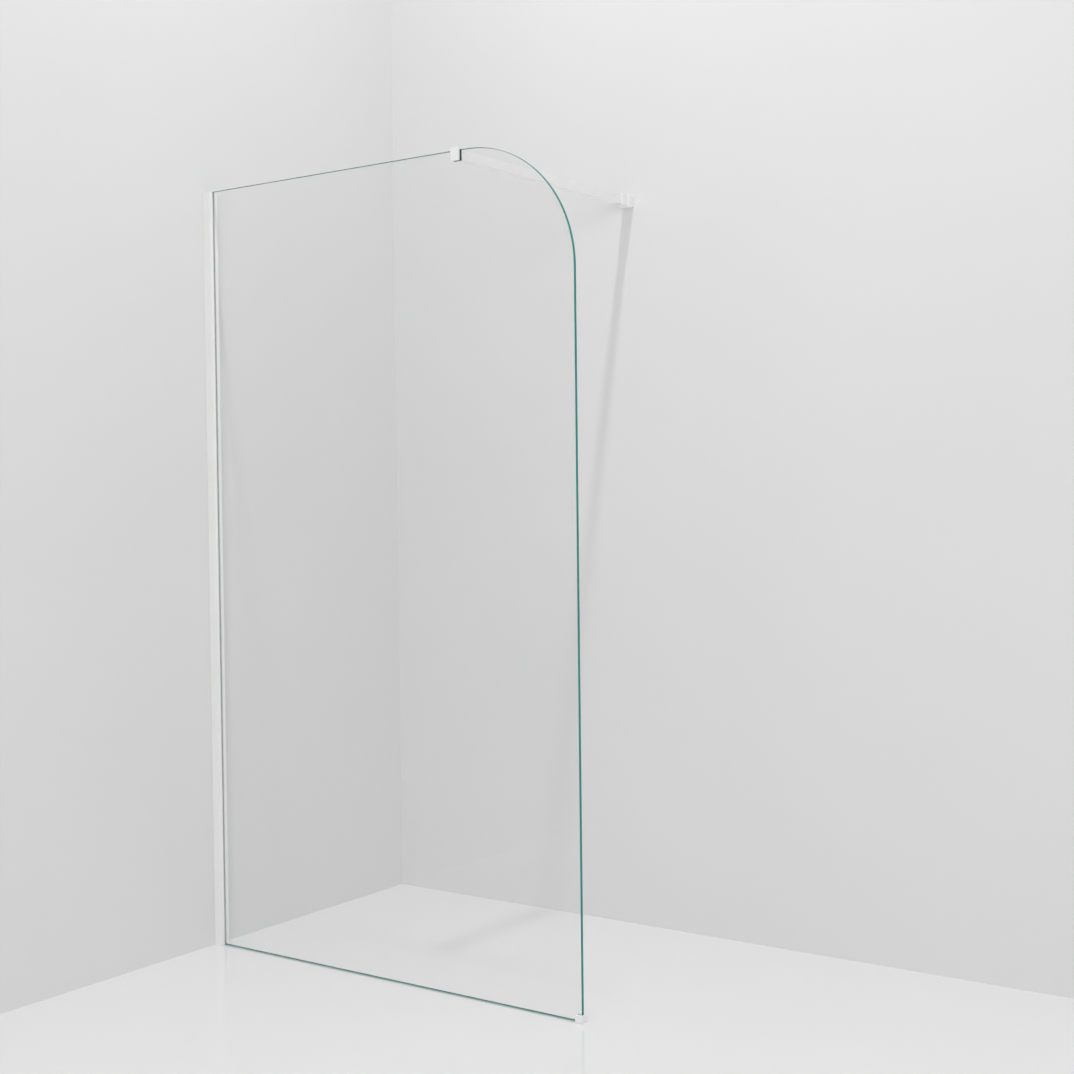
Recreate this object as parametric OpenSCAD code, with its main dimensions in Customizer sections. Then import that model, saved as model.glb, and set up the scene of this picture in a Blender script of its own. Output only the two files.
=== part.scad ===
// Walk-in shower screen: one fixed glass panel with a round upper corner.
// X runs along the glass from the side wall, Y from the glass to the back wall, Z up.
// The origin is where the side wall, the middle of the glass and the tray meet.

/* [Screen] */
// Height of the top edge of the glass above the tray
screen_h = 2000; // [1800:10:2200]
// Distance from the side wall to the free edge of the glass
screen_w = 1166; // [900:1:1400]
// Distance from the middle of the glass to the back wall
back_wall = 765; // [500:5:1200]
// Radius of the round upper corner
corner_r = 300; // [100:5:320]

/* [Glass] */
// Thickness of the glass
glass_t = 8; // [6:1:10]
// Gap between the tray and the bottom edge of the glass
glass_gap = 2; // [2:0.5:5]
// Length of glass that is held inside the carrier
glass_bite = 17; // [14:0.5:18]

/* [Wall channel] */
// Width of the channel across the glass
channel_w = 30; // [29:1:36]
// Distance that the channel stands off the side wall
channel_d = 25; // [25:1:32]
// Thickness of the channel's two sides
channel_side = 1.8; // [1.4:0.1:2]
// Thickness of the channel's back, which lies on the wall
channel_back = 2; // [2:0.1:2.6]
// Thickness of the cap on top of the channel
cap_t = 1.5; // [1:0.5:3]
// Distance that the cap's tongue reaches down into the channel
cap_tongue = 12; // [6:1:20]

/* [Glass carrier] */
// Gap between the sliding carrier and the channel's sides
slide_gap = 0.2; // [0.1:0.05:0.3]
// Thickness of the carrier's sides
carrier_side = 1.6; // [1.4:0.1:1.8]
// Thickness of the carrier's back
carrier_back = 1.5; // [1.2:0.1:1.6]
// Gap between the channel's back and the carrier's back
carrier_gap = 1.2; // [1:0.1:1.4]
// Length of the lips at the carrier's mouth, along the glass
lip_l = 2.5; // [2:0.1:2.8]
// Distance that the carrier and the glass can be drawn out of the channel
adjust_l = 10; // [6:1:10]
// Clearance at each end of the carrier, and under the glass packers
end_gap = 0.4; // [0.2:0.1:0.8]

/* [Glazing] */
// Thickness of the gaskets between the glass and the carrier's lips
gasket_t = 2.3; // [1.8:0.1:2.8]
// Depth of the gaskets' flat strip along the glass
gasket_d = 8; // [6:0.5:10]
// Height of the bead that hooks the gasket behind the lip
gasket_bead = 1.2; // [0.8:0.1:1.4]
// Number of packers between the carrier's back and the edge of the glass
packers = 5; // [3:1:7]
// Length of each packer
packer_l = 60; // [30:5:100]
// Distance from the channel's ends to the middle of the first and last packer
packer_end = 140; // [60:5:300]

/* [Wall screws] */
// Number of screws that hold the channel to the side wall
wall_screws_n = 4; // [3:1:6]
// Distance from the channel's ends to the first and last wall screw
wall_screw_end = 100; // [60:5:200]
// Thread radius of the wall screws
wall_thread_r = 2.25; // [2:0.05:2.5]
// Shank radius of the wall screws under their heads
wall_shank_r = 2; // [1.8:0.05:2]
// Head radius of the wall screws
wall_head_r = 3.6; // [3.4:0.1:3.8]
// Length of the wall screws that goes into the wall
wall_screw_l = 38; // [30:1:60]
// Clearance around screws in their holes
screw_gap = 0.25; // [0.1:0.05:0.4]

/* [Locking screws] */
// Number of screws that lock the carrier in the channel
locks_n = 4; // [3:1:6]
// Distance from the channel's ends to the first and last locking screw
lock_end = 160; // [120:5:240]
// Thread radius of the locking screws
lock_r = 2; // [1.5:0.1:2]
// Head radius of the locking screws
lock_head_r = 3.5; // [3:0.1:3.6]
// Head height of the locking screws
lock_head_h = 2.2; // [1.6:0.1:2.6]
// Side of the square nuts inside the carrier
nut_w = 7; // [6:0.1:7]
// Clearance between the nuts and the carrier's back when it is drawn out
nut_gap = 0.3; // [0.2:0.1:0.5]
// Clearance between the nuts and the gasket's bead
nut_bead_gap = 0.7; // [0.4:0.1:1]
// Wall of the caps over the locking screws
cover_wall = 0.8; // [0.6:0.1:1.2]

/* [Glass clamp] */
// Distance from the end of the straight top edge back to the clamp's centre
clamp_back = 28.5; // [20:0.5:60]
// Width of the clamp along the glass
clamp_w = 22; // [20:1:30]
// Height of the clamp
clamp_h = 30; // [26:1:40]
// Height of the clamp's bridge above the glass
clamp_over = 5; // [4:0.5:8]
// Distance from the middle of the glass to the clamp's front face
clamp_front = 12; // [12:0.5:15]
// Distance from the middle of the glass to the clamp's rear face
clamp_rear = 14; // [11:0.5:20]
// Clearance between the glass and the clamp's jaws
jaw_gap = 0.4; // [0.3:0.1:0.6]
// Thickness of the soft pads in front of the glass and over it
pad_t = 1; // [0.8:0.1:1.2]
// Thickness of the soft pad behind the glass
rear_pad_t = 3; // [2:0.5:4]
// Margin between the pads behind and over the glass and the outside of the clamp
pad_edge = 0.3; // [0.2:0.1:1]
// Thickness of the steel pressure plate
plate_t = 1.5; // [1:0.1:1.6]
// Travel of the clamp's screw and pressure plate
press_l = 1; // [0.5:0.1:1]
// Margin between the pressure plate's pocket and the outside of the clamp
pad_margin = 3; // [2:0.5:4]
// Thread radius of the clamp's screw
press_r = 2.5; // [2:0.1:3]
// Length of the clamp's screw
press_screw_l = 3.5; // [3:0.1:3.5]
// Thickness of the plug that hides the clamp's screw
plug_t = 0.8; // [0.6:0.1:0.9]
// Extra radius of the plug around the clamp's screw
plug_rim = 0.8; // [0.5:0.1:1.2]

/* [Support bar] */
// Width and height of the square bar
bar_w = 22; // [20:1:22]
// Wall of the bar
bar_wall = 1.5; // [1.2:0.1:2]
// Length of the clamp's spigot inside the bar
spigot_l = 20; // [12:1:40]
// Clearance between the bar and what it slides on or in
bar_gap = 0.2; // [0.1:0.05:0.3]
// Radius of the small grub screws
grub_r = 2; // [1.5:0.1:2.2]
// Length of the grub screw under the bar's front end
front_grub_l = 6; // [4:0.5:8]

/* [Wall socket] */
// Distance that the socket reaches off the back wall
socket_l = 54; // [44:1:90]
// Outer width of the sleeve that holds the bar
sleeve_w = 27; // [26:0.5:29]
// Outer width of the cup at the wall
cup_w = 30; // [30:0.5:36]
// Depth of the cup at the wall
cup_d = 24; // [20:1:34]
// Wall of the cup
cup_wall = 2; // [1.6:0.1:2.4]
// Thickness of the cup's floor, around the sleeve's bore
cup_floor_t = 4; // [2:0.5:4]
// Gap between the bar's end and the base block
bar_end_gap = 1; // [0.5:0.5:4]
// Length of the grub screw that holds the bar in the socket
sleeve_grub_l = 3; // [2.5:0.1:4]

/* [Wall base] */
// Depth of the base block on the back wall
base_d = 16; // [12:0.5:16]
// Distance between the two screws of the base block
base_screw_pitch = 12; // [11:0.5:13]
// Length of the base screws that goes into the wall
base_screw_l = 38; // [30:1:60]

/* [Floor foot] */
// Length of glass that stands in the foot
foot_bite = 16; // [10:1:30]
// Height of the foot
foot_h = 17; // [12:1:30]
// Width of the foot across the glass
foot_w = 20; // [16:1:30]
// Thickness of the foot's end wall
foot_end = 3; // [2:0.5:5]
// Thickness of the liner between the glass and the foot
liner_t = 0.5; // [0.3:0.1:1]
// Thickness of the adhesive pad under the foot
tape_t = 0.5; // [0.3:0.1:0.5]

/* [Hidden] */
$fn = 48;
corner_fn = 180;
white = [0.93, 0.93, 0.92];
steel = [0.72, 0.72, 0.73];
soft_grey = [0.62, 0.63, 0.63];
soft_black = [0.16, 0.17, 0.17];
clear_plastic = [0.86, 0.88, 0.88];
glass_green = [0.75, 0.9, 0.86, 0.35];

cut = 1; // extra length of a cutting shape past the face it opens
thread_gap = 0.05; // radial gap between a thread and its hole
cover_gap = 0.1; // gap between a cap and the head that it covers
stop_gap = 0.1; // gap between the drawn-back pressure plate and the floor of its pocket
hex_r = 0.6; // radius of a hexagon socket, as a share of its screw's radius
hex_depth = 0.5; // depth of a hexagon socket, as a share of its screw's radius
cross_w = 0.35; // width of a cross slot, as a share of its head's radius
cross_l = 1.1; // length of a cross slot, as a share of its head's radius
cross_depth = 0.35; // depth of a cross slot, as a share of its head's radius
tip_l = 1.8; // length of a screw's point, as a share of its thread's radius

glass_x = channel_d - glass_bite;
glass_half = glass_t / 2;
channel_h = screen_h - cap_t;

carrier_x = channel_back + carrier_gap;
carrier_in_x = carrier_x + carrier_back;
carrier_half = channel_w / 2 - channel_side - slide_gap;
carrier_in = carrier_half - carrier_side;
carrier_h = channel_h - end_gap - end_gap;
lip_half = glass_half + gasket_t;

lock_x = carrier_in_x + adjust_l + nut_gap + nut_w / 2;
nut_y = lip_half + gasket_bead + nut_bead_gap;
nut_t = carrier_in - slide_gap - nut_y;

clamp_x = screen_w - corner_r - clamp_back;
clamp_top = screen_h + clamp_over;
clamp_z = clamp_top - clamp_h;
clamp_mid = clamp_z + clamp_h / 2;
jaw = glass_half + jaw_gap;
rear_jaw = glass_half + rear_pad_t;
rear_pad_w = clamp_w - 2 * pad_edge;
plate_y = glass_half + pad_t;
screw_y = plate_y + plate_t;
pocket_y = screw_y + press_l + stop_gap;
pad_w = clamp_w - 2 * pad_margin;
pad_z = clamp_z + pad_margin;
pad_h = screen_h - pad_margin - pad_z;

sleeve_in = bar_w + 2 * bar_gap;
cup_in = cup_w - 2 * cup_wall;
cup_floor_y = back_wall - cup_d + cup_floor_t;
base_w = cup_in - 2 * bar_gap;
base_y = back_wall - base_d;
bar_end = base_y - bar_end_gap;
sleeve_grub_y = back_wall - (socket_l + cup_d) / 2;
base_grub_y = back_wall - base_d / 2;
base_grub_l = (cup_w - bar_w) / 2 - bar_gap;

foot_x = screen_w - foot_bite;
shoe_half = glass_half + liner_t;
shoe_floor = glass_gap - liner_t;

// Even spacing of a row of fixings over the channel's height
function row(count, margin) = [for (i = [0 : count - 1]) margin + i * (screen_h - 2 * margin) / (count - 1)];

// A round rod along Y, from y0 to y1
module rod_y(r, y0, y1) {
    translate([0, y0, 0]) rotate([-90, 0, 0]) cylinder(r = r, h = y1 - y0);
}

// A box given by its low and high corners
module span(low, high) {
    translate(low) cube(high - low);
}

// A square block or hole along Y, centred on the bar's axis
module bar_square(w, y0, y1) {
    span([clamp_x - w / 2, y0, clamp_mid - w / 2], [clamp_x + w / 2, y1, clamp_mid + w / 2]);
}

// A wood screw with a flush head at z = 0 and its thread below z = -plate
module wood_screw(plate, length) {
    head_h = wall_head_r - wall_shank_r;
    difference() {
        union() {
            translate([0, 0, -head_h]) cylinder(r1 = wall_shank_r, r2 = wall_head_r, h = head_h);
            translate([0, 0, -plate]) cylinder(r = wall_shank_r, h = plate - head_h);
            translate([0, 0, -plate - length + tip_l * wall_thread_r])
                cylinder(r = wall_thread_r, h = length - tip_l * wall_thread_r);
            translate([0, 0, -plate - length])
                cylinder(r1 = wall_thread_r / 8, r2 = wall_thread_r, h = tip_l * wall_thread_r);
        }
        cross_slot(wall_head_r);
    }
}

// The hole for a wood screw through a plate whose face is at z = 0
module wood_screw_hole(plate) {
    head_h = wall_head_r - wall_shank_r;
    translate([0, 0, -plate - cut]) cylinder(r = wall_shank_r + screw_gap, h = plate + 2 * cut);
    translate([0, 0, -head_h - screw_gap / 2])
        cylinder(r1 = wall_shank_r + screw_gap / 2, r2 = wall_head_r + screw_gap + cut, h = head_h + screw_gap / 2 + cut);
}

// A cross slot cut down into a head whose face is at z = 0
module cross_slot(head_r) {
    for (turn = [0, 90]) {
        rotate(turn) translate([-cross_l * head_r / 2, -cross_w * head_r / 2, -cross_depth * head_r])
            cube([cross_l * head_r, cross_w * head_r, cross_depth * head_r + cut]);
    }
}

// A headless grub screw that points up, with a hexagon socket in its lower face at z = 0
module grub_screw(r, length) {
    difference() {
        cylinder(r = r, h = length);
        translate([0, 0, -cut]) cylinder(r = hex_r * r, h = hex_depth * r + cut, $fn = 6);
    }
}

module wall_channel() {
    color(white) difference() {
        translate([0, -channel_w / 2, 0]) cube([channel_d, channel_w, channel_h]);
        translate([channel_back, -channel_w / 2 + channel_side, -cut])
            cube([channel_d, channel_w - 2 * channel_side, channel_h + 2 * cut]);
        for (z = row(wall_screws_n, wall_screw_end)) {
            translate([channel_back, 0, z]) rotate([0, 90, 0]) wood_screw_hole(channel_back);
        }
        for (z = row(locks_n, lock_end)) {
            translate([lock_x, 0, z]) rod_y(lock_r + screw_gap, carrier_half, channel_w / 2 + cut);
        }
    }
}

module wall_screws() {
    color(steel) for (z = row(wall_screws_n, wall_screw_end)) {
        translate([channel_back, 0, z]) rotate([0, 90, 0]) wood_screw(channel_back, wall_screw_l);
    }
}

module channel_top_cap() {
    tongue_t = carrier_gap - slide_gap;
    color(white) union() {
        difference() {
            translate([0, -channel_w / 2, channel_h]) cube([channel_d, channel_w, cap_t]);
            span([glass_x - end_gap, -glass_half - end_gap, channel_h - cut],
                 [channel_d + cut, glass_half + end_gap, screen_h + cut]);
        }
        translate([channel_back, -carrier_in, channel_h - cap_tongue]) cube([tongue_t, 2 * carrier_in, cap_tongue]);
    }
}

module locking_screws() {
    color(steel) for (z = row(locks_n, lock_end)) {
        translate([lock_x, 0, z]) difference() {
            union() {
                rod_y(lock_r, nut_y, channel_w / 2);
                rod_y(lock_head_r, channel_w / 2, channel_w / 2 + lock_head_h);
            }
            translate([0, channel_w / 2 + lock_head_h, 0]) rotate([-90, 0, 0]) cross_slot(lock_head_r);
        }
    }
}

module locking_nuts() {
    color(steel) for (z = row(locks_n, lock_end)) {
        translate([lock_x, 0, z]) difference() {
            translate([-nut_w / 2, nut_y, -nut_w / 2]) cube([nut_w, nut_t, nut_w]);
            rod_y(lock_r + thread_gap, nut_y - cut, nut_y + nut_t + cut);
        }
    }
}

module locking_screw_caps() {
    cup_h = lock_head_h + cover_gap + cover_wall;
    cup_r = lock_head_r + cover_gap;
    color(white) for (z = row(locks_n, lock_end)) {
        translate([lock_x, 0, z]) difference() {
            rod_y(cup_r + cover_wall, channel_w / 2, channel_w / 2 + cup_h);
            rod_y(cup_r, channel_w / 2 - cut, channel_w / 2 + cup_h - cover_wall);
        }
    }
}

module glass_carrier() {
    color(white) difference() {
        translate([carrier_x, -carrier_half, end_gap]) cube([channel_d - carrier_x, 2 * carrier_half, carrier_h]);
        span([carrier_in_x, -carrier_in, 0], [channel_d - lip_l, carrier_in, screen_h]);
        span([carrier_in_x, -lip_half, 0], [channel_d + cut, lip_half, screen_h]);
        for (z = row(locks_n, lock_end)) {
            slot_r = lock_r + screw_gap;
            for (x = [lock_x - adjust_l, lock_x]) {
                translate([x, 0, z]) rod_y(slot_r, carrier_in - cut, carrier_half + cut);
            }
            span([lock_x - adjust_l, carrier_in - cut, z - slot_r], [lock_x, carrier_half + cut, z + slot_r]);
        }
    }
}

// The gasket on the +Y side: a flat strip on the glass and a bead that hooks behind the lip
module gasket() {
    strip_x = channel_d - gasket_d;
    bead_x = channel_d - lip_l;
    translate([strip_x, glass_half, end_gap]) cube([gasket_d, gasket_t, carrier_h]);
    translate([bead_x - gasket_bead, glass_half, end_gap]) cube([gasket_bead, gasket_t + gasket_bead, carrier_h]);
}

module front_gasket() {
    color(soft_grey) mirror([0, 1, 0]) gasket();
}

module rear_gasket() {
    color(soft_grey) gasket();
}

module edge_packers() {
    color(clear_plastic) for (z = row(packers, packer_end)) {
        span([carrier_in_x, -glass_half, z - packer_l / 2], [glass_x, glass_half, z + packer_l / 2]);
    }
}

module bottom_shim() {
    color(clear_plastic) span([glass_x, -glass_half, 0], [channel_d, glass_half, glass_gap]);
}

module glass_panel() {
    arc_x = screen_w - corner_r;
    arc_z = screen_h - corner_r;
    color(glass_green) translate([0, glass_half, 0]) rotate([90, 0, 0]) linear_extrude(height = glass_t) {
        translate([glass_x, glass_gap]) square([arc_x - glass_x, screen_h - glass_gap]);
        translate([glass_x, glass_gap]) square([screen_w - glass_x, arc_z - glass_gap]);
        translate([arc_x, arc_z]) circle(r = corner_r, $fn = corner_fn);
    }
}

module clamp_body() {
    plug_r = press_r + plug_rim;
    grub_z = clamp_mid - bar_w / 2;
    color(white) translate([clamp_x, 0, 0]) difference() {
        union() {
            span([-clamp_w / 2, -clamp_front, clamp_z], [clamp_w / 2, clamp_rear, clamp_top]);
            translate([-clamp_x, 0, 0])
                bar_square(bar_w - 2 * bar_wall - 2 * bar_gap, clamp_rear - cut, clamp_rear + spigot_l);
        }
        span([-clamp_w / 2 - cut, -jaw, clamp_z - cut], [clamp_w / 2 + cut, rear_jaw, screen_h + pad_t]);
        span([-pad_w / 2, -pocket_y, pad_z], [pad_w / 2, 0, pad_z + pad_h]);
        translate([0, 0, pad_z + pad_h / 2]) rod_y(press_r + thread_gap, -clamp_front - cut, -pocket_y + cut);
        translate([0, 0, pad_z + pad_h / 2]) rod_y(plug_r + thread_gap, -clamp_front - cut, -clamp_front + plug_t);
        translate([0, clamp_rear + spigot_l / 2, grub_z - cut])
            cylinder(r = grub_r + thread_gap, h = front_grub_l + 2 * cut);
    }
}

module clamp_rear_pad() {
    color(soft_black) span([clamp_x - rear_pad_w / 2, glass_half, clamp_z + pad_edge],
                           [clamp_x + rear_pad_w / 2, rear_jaw, screen_h + pad_t]);
}

module clamp_top_pad() {
    color(soft_black) span([clamp_x - rear_pad_w / 2, -glass_half, screen_h],
                           [clamp_x + rear_pad_w / 2, glass_half, screen_h + pad_t]);
}

module clamp_bar_screw() {
    color(steel) translate([clamp_x, clamp_rear + spigot_l / 2, clamp_mid - bar_w / 2])
        grub_screw(grub_r, front_grub_l);
}

module clamp_pressure_plate() {
    inset = pad_w / 2 - screw_gap;
    color(steel) span([clamp_x - inset, -screw_y, pad_z + screw_gap], [clamp_x + inset, -plate_y, pad_z + pad_h - screw_gap]);
}

module clamp_front_pad() {
    inset = pad_w / 2 - screw_gap;
    color(soft_black) span([clamp_x - inset, -plate_y, pad_z + screw_gap],
                           [clamp_x + inset, -glass_half, pad_z + pad_h - screw_gap]);
}

module clamp_screw() {
    color(steel) translate([clamp_x, -screw_y - press_screw_l, pad_z + pad_h / 2])
        rotate([-90, 0, 0]) grub_screw(press_r, press_screw_l);
}

module clamp_screw_plug() {
    color(white) translate([clamp_x, 0, pad_z + pad_h / 2]) rod_y(press_r + plug_rim, -clamp_front, -clamp_front + plug_t);
}

module support_bar() {
    color(white) difference() {
        bar_square(bar_w, clamp_rear, bar_end);
        bar_square(bar_w - 2 * bar_wall, clamp_rear - cut, bar_end + cut);
        translate([clamp_x, clamp_rear + spigot_l / 2, clamp_mid - bar_w / 2 - cut])
            cylinder(r = grub_r + screw_gap, h = bar_wall + 2 * cut);
    }
}

module bar_wall_base() {
    color(steel) difference() {
        bar_square(base_w, base_y, back_wall);
        for (side = [-1, 1]) {
            translate([clamp_x, base_y, clamp_mid + side * base_screw_pitch / 2])
                rotate([90, 0, 0]) wood_screw_hole(base_d);
        }
        span([clamp_x - grub_r - screw_gap, base_y - cut, clamp_mid - base_w / 2 - cut],
             [clamp_x + grub_r + screw_gap, back_wall + cut, clamp_mid - cup_w / 2 + base_grub_l]);
    }
}

module base_screws() {
    color(steel) for (side = [-1, 1]) {
        translate([clamp_x, base_y, clamp_mid + side * base_screw_pitch / 2])
            rotate([90, 0, 0]) wood_screw(base_d, base_screw_l);
    }
}

module bar_wall_socket() {
    color(white) difference() {
        union() {
            bar_square(sleeve_w, back_wall - socket_l, back_wall - cup_d + cut);
            bar_square(cup_w, back_wall - cup_d, back_wall);
        }
        bar_square(sleeve_in, back_wall - socket_l - cut, cup_floor_y + cut);
        bar_square(cup_in, cup_floor_y, back_wall + cut);
        translate([clamp_x, sleeve_grub_y, clamp_mid - sleeve_w / 2 - cut])
            cylinder(r = grub_r + thread_gap, h = (sleeve_w - bar_w) / 2 + cut);
        translate([clamp_x, base_grub_y, clamp_mid - cup_w / 2 - cut])
            cylinder(r = grub_r + thread_gap, h = cup_wall + 2 * cut);
    }
}

module socket_bar_screw() {
    color(steel) translate([clamp_x, sleeve_grub_y, clamp_mid - bar_w / 2 - sleeve_grub_l])
        grub_screw(grub_r, sleeve_grub_l);
}

module socket_base_screw() {
    color(steel) translate([clamp_x, base_grub_y, clamp_mid - cup_w / 2]) grub_screw(grub_r, base_grub_l);
}

module foot_shoe() {
    color(white) difference() {
        span([foot_x, -foot_w / 2, tape_t], [screen_w + liner_t + foot_end, foot_w / 2, foot_h]);
        span([foot_x - cut, -shoe_half, shoe_floor], [screen_w + liner_t, shoe_half, foot_h + cut]);
    }
}

module foot_liner() {
    color(clear_plastic) difference() {
        span([foot_x, -shoe_half, shoe_floor], [screen_w + liner_t, shoe_half, foot_h]);
        span([foot_x - cut, -glass_half, glass_gap], [screen_w, glass_half, foot_h + cut]);
    }
}

module foot_adhesive_pad() {
    color(clear_plastic) span([foot_x, -foot_w / 2, 0], [screen_w + liner_t + foot_end, foot_w / 2, tape_t]);
}

wall_channel();
wall_screws();
channel_top_cap();
locking_screws();
locking_nuts();
locking_screw_caps();
glass_carrier();
front_gasket();
rear_gasket();
edge_packers();
bottom_shim();
glass_panel();
clamp_body();
clamp_rear_pad();
clamp_top_pad();
clamp_bar_screw();
clamp_pressure_plate();
clamp_front_pad();
clamp_screw();
clamp_screw_plug();
support_bar();
bar_wall_base();
base_screws();
bar_wall_socket();
socket_bar_screw();
socket_base_screw();
foot_shoe();
foot_liner();
foot_adhesive_pad();
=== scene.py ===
"""Looks of the walk-in shower screen: materials, soft edges, a plain corner, lights and camera."""
import math

import bmesh
import bpy
from mathutils import Matrix, Vector

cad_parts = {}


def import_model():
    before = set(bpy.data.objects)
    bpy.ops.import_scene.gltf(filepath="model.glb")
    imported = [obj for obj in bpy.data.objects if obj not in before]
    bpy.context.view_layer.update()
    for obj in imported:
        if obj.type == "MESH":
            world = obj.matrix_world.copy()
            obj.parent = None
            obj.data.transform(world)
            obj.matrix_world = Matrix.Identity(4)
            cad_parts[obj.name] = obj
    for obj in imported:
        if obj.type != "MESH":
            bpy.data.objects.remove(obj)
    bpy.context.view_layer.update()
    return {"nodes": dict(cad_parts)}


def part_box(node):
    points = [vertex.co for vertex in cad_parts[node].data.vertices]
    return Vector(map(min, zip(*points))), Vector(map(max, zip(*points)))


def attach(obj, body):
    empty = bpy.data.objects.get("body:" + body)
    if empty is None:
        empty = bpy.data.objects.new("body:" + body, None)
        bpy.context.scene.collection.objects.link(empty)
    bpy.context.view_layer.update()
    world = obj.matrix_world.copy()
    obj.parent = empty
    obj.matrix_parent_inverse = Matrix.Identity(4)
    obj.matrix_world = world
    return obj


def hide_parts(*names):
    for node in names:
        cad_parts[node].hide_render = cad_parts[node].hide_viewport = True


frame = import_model()
nodes = frame["nodes"]
scene = bpy.context.scene

# Lights: the lamps in watts and metres, the world's strengths from above, below and the free side
LAMP_POWER = 48.5
LAMP_AT = (1.226, -0.354, 4.6)
LAMP_SIZE = (0.11, 0.13)
FRONT_POWER = 94.0
FRONT_AT = (4.6, -5.4, 2.2)
FRONT_SIZE = (4.0, 3.0)
FRONT_TARGET = (0.6, 0.3, 1.0)
FRONT_SPREAD = math.radians(125)
SKY_HIGH = 1.39
SKY_LOW = 1.78
SKY_SIDE = 0.14

# The grey that the camera, mirrors and the glass show beyond the floor
SEEN_WORLD = 0.72

# Camera, as fitted to the photograph
CAMERA_AT = (3.10776, -2.93275, 1.18869)
CAMERA_YAW = math.radians(-35.0061)
CAMERA_PITCH = math.radians(1.49574)
CAMERA_ROLL = math.radians(0.64785)
CAMERA_LENS = 52.688
CAMERA_SENSOR = 36.0
CLIP_START = 0.05

# Glass pane: its box, the round corner's radius and steps, and the width of the ground edges
GLASS_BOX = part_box("glass_panel")
CORNER_R = 0.300
CORNER_STEPS = 96
ARRIS = 0.0010
FLAT_ANGLE = math.radians(20)

# Softened pieces: edges above BEVEL_ANGLE are rounded, faces shade smooth up to SMOOTH_ANGLE
BEVEL_ANGLE = math.radians(40)
SMOOTH_ANGLE = math.radians(50)
PLANAR_ANGLE = math.radians(0.5)
MERGE_DISTANCE = 1e-6
BEVEL_STEPS = 2
ROUND_PROFILE = 0.5
THIN_SOFT, SOFT, BAR_SOFT = 0.0003, 0.0005, 0.0006

# Stage: floor and walls stand just clear of the part and let some of the soft light through
FLOOR_Z = -0.0004
WALL_GAP = 0.0004
ROOM_REACH = 6.0
ROOM_HIGH = 3.6
WALL_CLEAR = 0.75
FLOOR_CLEAR = 0.6

# The stage's greys, each from its darkest to its lightest
SIDE_GREY = (0.612, 0.626)
BACK_GREY = (0.630, 0.645)
FLOOR_GREY = (0.622, 0.636)

# The part of a noise texture's 0 to 1 that nearly all its values fall in
NOISE_SPAN = (0.3, 0.7)


def link_new(obj):
    scene.collection.objects.link(obj)
    return obj


def mesh_object(name, bm, materials):
    mesh = bpy.data.meshes.new(name)
    bm.normal_update()
    bm.to_mesh(mesh)
    bm.free()
    for material in materials:
        mesh.materials.append(material)
    return link_new(bpy.data.objects.new(name, mesh))


def add_camera():
    """The camera looks along its yaw and pitch, and is then rolled about that line."""
    yaw, pitch, roll = CAMERA_YAW, CAMERA_PITCH, CAMERA_ROLL
    level = math.cos(pitch)
    forward = Vector((math.sin(yaw) * level, math.cos(yaw) * level, -math.sin(pitch)))
    level_right = Vector((math.cos(yaw), -math.sin(yaw), 0))
    level_down = forward.cross(level_right)
    right = level_right * math.cos(roll) + level_down * math.sin(roll)
    down = level_down * math.cos(roll) - level_right * math.sin(roll)
    turn = Matrix((right, -down, -forward)).transposed()
    data = bpy.data.cameras.new("camera")
    data.lens = CAMERA_LENS
    data.sensor_width = CAMERA_SENSOR
    data.clip_start = CLIP_START
    camera = link_new(bpy.data.objects.new("camera", data))
    camera.matrix_world = Matrix.Translation(CAMERA_AT) @ turn.to_4x4()
    scene.camera = camera


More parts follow.
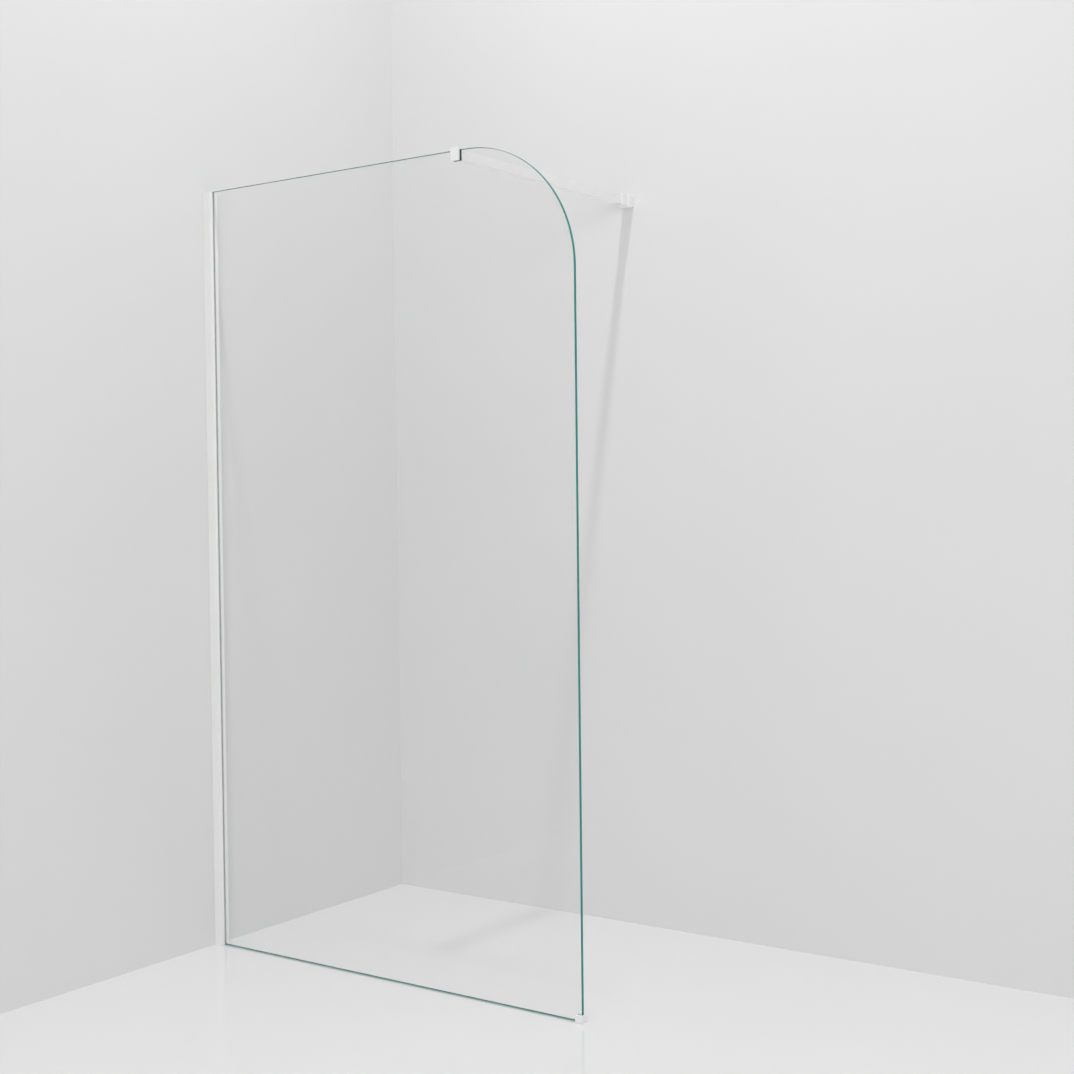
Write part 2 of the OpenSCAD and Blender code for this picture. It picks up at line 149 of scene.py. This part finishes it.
class Shade:
    """A material's node tree, with short names for the nodes used here."""

    def __init__(self, name):
        self.material = bpy.data.materials.new(name)
        self.material.use_nodes = True
        self.tree = self.material.node_tree
        self.tree.nodes.clear()
        self.output = self.add("OutputMaterial")
        self.shader = self.add("BsdfPrincipled")
        self.last = self.shader.outputs["BSDF"]
        self.join(self.last, self.output.inputs["Surface"])
        self.place = self.add("TexCoord").outputs["Object"]

    def add(self, kind):
        return self.tree.nodes.new("ShaderNode" + kind)

    def join(self, source, target):
        self.tree.links.new(source, target)

    def set(self, **values):
        for name, value in values.items():
            self.shader.inputs[name.replace("_", " ")].default_value = value

    def noise(self, scale, detail, stretch=(1, 1, 1)):
        node = self.add("TexNoise")
        node.inputs["Scale"].default_value = scale
        node.inputs["Detail"].default_value = detail
        mapping = self.add("Mapping")
        mapping.inputs["Scale"].default_value = stretch
        self.join(self.place, mapping.inputs["Vector"])
        self.join(mapping.outputs["Vector"], node.inputs["Vector"])
        return node.outputs["Fac"]

    def between(self, factor, low, high):
        node = self.add("MapRange")
        sockets = ("From Min", "From Max", "To Min", "To Max")
        for socket, value in zip(sockets, (*NOISE_SPAN, low, high)):
            node.inputs[socket].default_value = value
        self.join(factor, node.inputs["Value"])
        return node.outputs["Result"]

    def tint(self, factor, low, high):
        node = self.add("ValToRGB")
        for stop, position, colour in zip(node.color_ramp.elements, NOISE_SPAN, (low, high)):
            stop.position = position
            stop.color = (*colour, 1)
        self.join(factor, node.inputs["Fac"])
        return node.outputs["Color"]

    def colour(self, factor, low, high):
        self.join(self.tint(factor, low, high), self.shader.inputs["Base Color"])

    def rough(self, factor, low, high):
        self.join(self.between(factor, low, high), self.shader.inputs["Roughness"])

    def bump(self, height, distance, strength=1.0):
        node = self.add("Bump")
        node.inputs["Strength"].default_value = strength
        node.inputs["Distance"].default_value = distance
        self.join(height, node.inputs["Height"])
        self.join(node.outputs["Normal"], self.shader.inputs["Normal"])

    def let_through(self, clear, share=1.0):
        """The given share of soft light and of shadows passes, as if the surface weren't there."""
        path = self.add("LightPath").outputs
        self.swap_in(path["Is Diffuse Ray"], clear, share)
        self.swap_in(path["Is Shadow Ray"], clear, share)

    def swap_in(self, factor, other, share=1.0):
        """Puts in the given share of the shader other where factor is 1."""
        if share < 1.0:
            part = self.add("Math")
            part.operation = "MULTIPLY"
            part.inputs[1].default_value = share
            self.join(factor, part.inputs[0])
            factor = part.outputs["Value"]
        mix = self.add("MixShader")
        self.join(factor, mix.inputs["Fac"])
        self.join(self.last, mix.inputs[1])
        self.join(other, mix.inputs[2])
        self.last = mix.outputs["Shader"]
        self.join(self.last, self.output.inputs["Surface"])


def powder_coat():
    s = Shade("white_powder_coat")
    s.colour(s.noise(9, 3), (0.725, 0.725, 0.720), (0.750, 0.750, 0.747))
    s.rough(s.noise(420, 2), 0.30, 0.42)
    s.bump(s.noise(900, 2), 0.00002, 0.5)
    return s.material


def white_plastic():
    s = Shade("white_plastic")
    s.colour(s.noise(25, 2), (0.715, 0.715, 0.708), (0.740, 0.740, 0.736))
    s.rough(s.noise(700, 3), 0.36, 0.50)
    s.bump(s.noise(2500, 3), 0.000006, 0.5)
    return s.material


def screw_steel():
    s = Shade("zinc_plated_steel")
    s.colour(s.noise(160, 4), (0.48, 0.49, 0.51), (0.66, 0.66, 0.65))
    s.set(Metallic=1.0)
    s.rough(s.noise(900, 3, (1, 1, 0.15)), 0.24, 0.40)
    s.bump(s.noise(1600, 2, (1, 1, 0.1)), 0.000008, 0.6)
    return s.material


def soft_rubber(name, low, high):
    s = Shade(name)
    s.colour(s.noise(60, 3), low, high)
    s.rough(s.noise(500, 3), 0.48, 0.66)
    s.bump(s.noise(1400, 3), 0.00002, 0.5)
    return s.material


def clear_plastic():
    s = Shade("frosted_clear_plastic")
    s.colour(s.noise(40, 2), (0.80, 0.84, 0.84), (0.86, 0.89, 0.89))
    s.set(Transmission_Weight=0.55, IOR=1.49)
    s.rough(s.noise(400, 2), 0.28, 0.42)
    s.bump(s.noise(1200, 2), 0.00001, 0.4)
    return s.material


def adhesive_foam():
    s = Shade("adhesive_pad")
    s.colour(s.noise(120, 3), (0.70, 0.72, 0.72), (0.80, 0.81, 0.81))
    s.rough(s.noise(900, 2), 0.45, 0.65)
    s.bump(s.noise(2200, 3), 0.00003, 0.6)
    return s.material


def glass_face():
    s = Shade("clear_glass")
    s.colour(s.noise(2.5, 2), (0.950, 0.955, 0.953), (0.958, 0.962, 0.960))
    s.set(Transmission_Weight=1.0, IOR=1.52)
    s.rough(s.noise(3, 1), 0.0, 0.004)
    s.bump(s.noise(3.5, 1, (1, 1, 2.5)), 0.00004, 1.0)
    clear = s.add("BsdfTransparent")
    clear.inputs["Color"].default_value = (0.985, 0.985, 0.985, 1)
    s.let_through(clear.outputs["BSDF"])
    return s.material


def glass_edge():
    s = Shade("polished_glass_edge")
    s.colour(s.noise(14, 3), (0.006, 0.190, 0.180), (0.014, 0.245, 0.230))
    s.set(Specular_IOR_Level=0.25)
    s.rough(s.noise(260, 2, (1, 6, 1)), 0.08, 0.18)
    s.bump(s.noise(700, 2, (1, 5, 1)), 0.00001, 0.4)
    return s.material


def glass_arris():
    s = Shade("ground_glass_arris")
    s.colour(s.noise(20, 3), (0.008, 0.095, 0.086), (0.018, 0.140, 0.126))
    s.set(Specular_IOR_Level=0.3)
    s.rough(s.noise(500, 3), 0.35, 0.50)
    s.bump(s.noise(1500, 3), 0.00002, 0.7)
    return s.material


def glass_loop(bm, y, inset):
    """One closed loop of vertices round the pane, moved in by inset."""
    low, high = GLASS_BOX
    centre_x, centre_z = high.x - CORNER_R, high.z - CORNER_R
    r = CORNER_R - inset
    points = [(low.x + inset, low.z + inset), (high.x - inset, low.z + inset)]
    for i in range(CORNER_STEPS + 1):
        turn = math.pi / 2 * i / CORNER_STEPS
        points.append((centre_x + r * math.cos(turn), centre_z + r * math.sin(turn)))
    points.append((low.x + inset, high.z - inset))
    return [bm.verts.new((x, y, z)) for x, z in points]


def glass_piece():
    """The pane: clear faces, polished edges and a ground arris between the two."""
    low, high = GLASS_BOX
    bm = bmesh.new()
    loops = [
        glass_loop(bm, low.y, ARRIS),
        glass_loop(bm, low.y + ARRIS, 0),
        glass_loop(bm, high.y - ARRIS, 0),
        glass_loop(bm, high.y, ARRIS),
    ]
    bm.faces.new(loops[0])
    bm.faces.new(list(reversed(loops[-1])))
    count = len(loops[0])
    for band, (first, second) in enumerate(zip(loops, loops[1:])):
        for i in range(count):
            j = (i + 1) % count
            face = bm.faces.new((first[i], second[i], second[j], first[j]))
            face.material_index = 1 if band == 1 else 2
            face.smooth = True
    bmesh.ops.recalc_face_normals(bm, faces=bm.faces)
    for edge in bm.edges:
        edge.smooth = edge.calc_face_angle(math.pi) < FLAT_ANGLE
    piece = mesh_object("glass_pane", bm, [glass_face(), glass_edge(), glass_arris()])
    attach(piece, "glass_unit")
    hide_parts("glass_panel")


def softened(node, name, body, slot, material, width):
    """The CAD piece with its sharp edges rounded by width, as a coating or a mould leaves them."""
    bm = bmesh.new()
    bm.from_mesh(nodes[node].data)
    bmesh.ops.remove_doubles(bm, verts=bm.verts, dist=MERGE_DISTANCE)
    bmesh.ops.dissolve_limit(bm, angle_limit=PLANAR_ANGLE, verts=bm.verts, edges=bm.edges)
    sharp = [e for e in bm.edges if len(e.link_faces) == 2 and e.calc_face_angle() > BEVEL_ANGLE]
    bmesh.ops.bevel(
        bm,
        geom=sharp,
        offset=width,
        segments=BEVEL_STEPS,
        profile=ROUND_PROFILE,
        affect="EDGES",
        clamp_overlap=True,
    )
    for face in bm.faces:
        face.smooth = True
        face.material_index = 0
    for edge in bm.edges:
        edge.smooth = edge.calc_face_angle(math.pi) < SMOOTH_ANGLE
    piece = mesh_object(name, bm, [material])
    piece.modifiers.new("even_normals", "WEIGHTED_NORMAL").keep_sharp = True
    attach(piece, body)
    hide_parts(node)


def dress(material, *names):
    """Gives the named CAD pieces their material, and leaves their shapes alone."""
    for name in names:
        for slot in nodes[name].material_slots:
            slot.material = material


def grey(level):
    return (level, level, level)


def plane(name, corners, material):
    bm = bmesh.new()
    bm.faces.new([bm.verts.new(c) for c in corners])
    piece = mesh_object(name, bm, [material])


def wall_paint(name, low, high):
    """Pale paint seen from the room's side only, so that the screen's back can be looked at."""
    s = Shade(name)
    s.colour(s.noise(1.2, 2), grey(low), grey(high))
    s.rough(s.noise(30, 2), 0.50, 0.60)
    s.bump(s.noise(500, 2), 0.00003, 0.3)
    clear = s.add("BsdfTransparent").outputs["BSDF"]
    s.swap_in(s.add("NewGeometry").outputs["Backfacing"], clear)
    s.let_through(clear, WALL_CLEAR)
    return s.material


def floor_gloss(low, high):
    """A smooth pale floor, with a faint mirror image of what stands on it."""
    s = Shade("floor_gloss")
    s.colour(s.noise(1.5, 2), grey(low), grey(high))
    s.rough(s.noise(8, 2), 0.08, 0.12)
    s.bump(s.noise(60, 2), 0.00001, 0.3)
    s.let_through(s.add("BsdfTransparent").outputs["BSDF"], FLOOR_CLEAR)
    return s.material


def stage():
    """The corner of a room: the side wall, the back wall behind the bar's base, and the floor."""
    side, back = -WALL_GAP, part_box("bar_wall_base")[1].y + WALL_GAP
    low, high, far = FLOOR_Z, ROOM_HIGH, ROOM_REACH
    wide = 2 * far
    plane(
        "side_wall",
        [(side, -far, low), (side, back, low), (side, back, high), (side, -far, high)],
        wall_paint("side_wall_paint", *SIDE_GREY),
    )
    plane(
        "back_wall",
        [(side, back, low), (far, back, low), (far, back, high), (side, back, high)],
        wall_paint("back_wall_paint", *BACK_GREY),
    )
    plane(
        "floor",
        [(-wide, -wide, low), (wide, -wide, low), (wide, wide, low), (-wide, wide, low)],
        floor_gloss(*FLOOR_GREY),
    )


def lamp(name, at, size, power, target, spread=math.pi):
    """A soft panel that lights the room but isn't itself seen, mirrored or refracted."""
    data = bpy.data.lights.new(name, "AREA")
    data.shape = "RECTANGLE"
    data.size, data.size_y = size
    data.energy = power
    data.spread = spread
    obj = link_new(bpy.data.objects.new(name, data))
    obj.location = at
    obj.rotation_euler = (Vector(target) - Vector(at)).to_track_quat("-Z", "Y").to_euler()
    obj.visible_camera = obj.visible_glossy = obj.visible_transmission = False


def world():
    """Soft light from all round, while a camera, a mirror or the glass sees one plain grey."""
    data = bpy.data.worlds.new("world")
    scene.world = data
    data.use_nodes = True
    tree = data.node_tree
    tree.nodes.clear()

    def add(kind):
        return tree.nodes.new("ShaderNode" + kind)

    def maths(operation, first, second):
        node = add("Math")
        node.operation = operation
        for socket, value in zip(node.inputs, (first, second)):
            if isinstance(value, (int, float)):
                socket.default_value = value
            else:
                tree.links.new(value, socket)
        return node.outputs["Value"]

    def lobe(direction, strength):
        """Light from one side: the strength in that direction, none at right angles to it."""
        dot = add("VectorMath")
        dot.operation = "DOT_PRODUCT"
        tree.links.new(coordinates, dot.inputs[0])
        dot.inputs[1].default_value = direction
        return maths("MULTIPLY", maths("MAXIMUM", dot.outputs["Value"], 0.0), strength)

    output = add("OutputWorld")
    coordinates = add("TexCoord").outputs["Generated"]
    total = lobe((0, 0, 1), SKY_HIGH)
    for direction, strength in (((0, 0, -1), SKY_LOW), ((1, 0, 0), SKY_SIDE)):
        total = maths("ADD", total, lobe(direction, strength))
    light, seen = add("Background"), add("Background")
    light.inputs["Color"].default_value = (*grey(1), 1)
    tree.links.new(total, light.inputs["Strength"])
    seen.inputs["Color"].default_value = (*grey(SEEN_WORLD), 1)
    path = add("LightPath").outputs
    shown = maths("MAXIMUM", path["Is Camera Ray"], path["Is Glossy Ray"])
    shown = maths("MAXIMUM", shown, path["Is Transmission Ray"])
    mix = add("MixShader")
    tree.links.new(shown, mix.inputs["Fac"])
    tree.links.new(light.outputs["Background"], mix.inputs[1])
    tree.links.new(seen.outputs["Background"], mix.inputs[2])
    tree.links.new(mix.outputs["Shader"], output.inputs["Surface"])


add_camera()
scene.view_settings.view_transform = "Standard"

COAT = powder_coat()
PLASTIC = white_plastic()
STEEL = screw_steel()
GASKET = soft_rubber("pale_grey_gasket", (0.50, 0.51, 0.51), (0.56, 0.57, 0.57))
PAD = soft_rubber("black_pad_rubber", (0.020, 0.022, 0.022), (0.030, 0.032, 0.032))
CLEAR = clear_plastic()

glass_piece()
for row in (
    ("wall_channel", "channel_extrusion", "wall_fixed", "white_profile", COAT, THIN_SOFT),
    ("channel_top_cap", "channel_end_cap", "wall_fixed", "white_plastic", PLASTIC, THIN_SOFT),
    ("locking_screw_caps", "domed_screw_caps", "wall_fixed", "white_plastic", PLASTIC, THIN_SOFT),
    ("clamp_body", "clamp_casting", "bar_unit", "white_fitting", COAT, SOFT),
    ("support_bar", "square_bar", "bar_unit", "white_profile", COAT, BAR_SOFT),
    ("bar_wall_socket", "wall_socket_casting", "socket_unit", "white_fitting", COAT, SOFT),
    ("foot_shoe", "foot_casting", "glass_unit", "white_fitting", COAT, SOFT),
):
    softened(*row)
dress(COAT, "glass_carrier")
dress(PLASTIC, "clamp_screw_plug")
dress(STEEL, "wall_screws", "locking_screws", "locking_nuts", "bar_wall_base", "base_screws")
dress(STEEL, "clamp_bar_screw", "clamp_pressure_plate", "clamp_screw")
dress(STEEL, "socket_bar_screw", "socket_base_screw")
dress(GASKET, "front_gasket", "rear_gasket")
dress(PAD, "clamp_rear_pad", "clamp_top_pad", "clamp_front_pad")
dress(CLEAR, "edge_packers", "bottom_shim", "foot_liner")
dress(adhesive_foam(), "foot_adhesive_pad")

stage()
world()
lamp("ceiling_lamp", LAMP_AT, LAMP_SIZE, LAMP_POWER, (LAMP_AT[0], LAMP_AT[1], 0))
lamp("front_lamp", FRONT_AT, FRONT_SIZE, FRONT_POWER, FRONT_TARGET, FRONT_SPREAD)
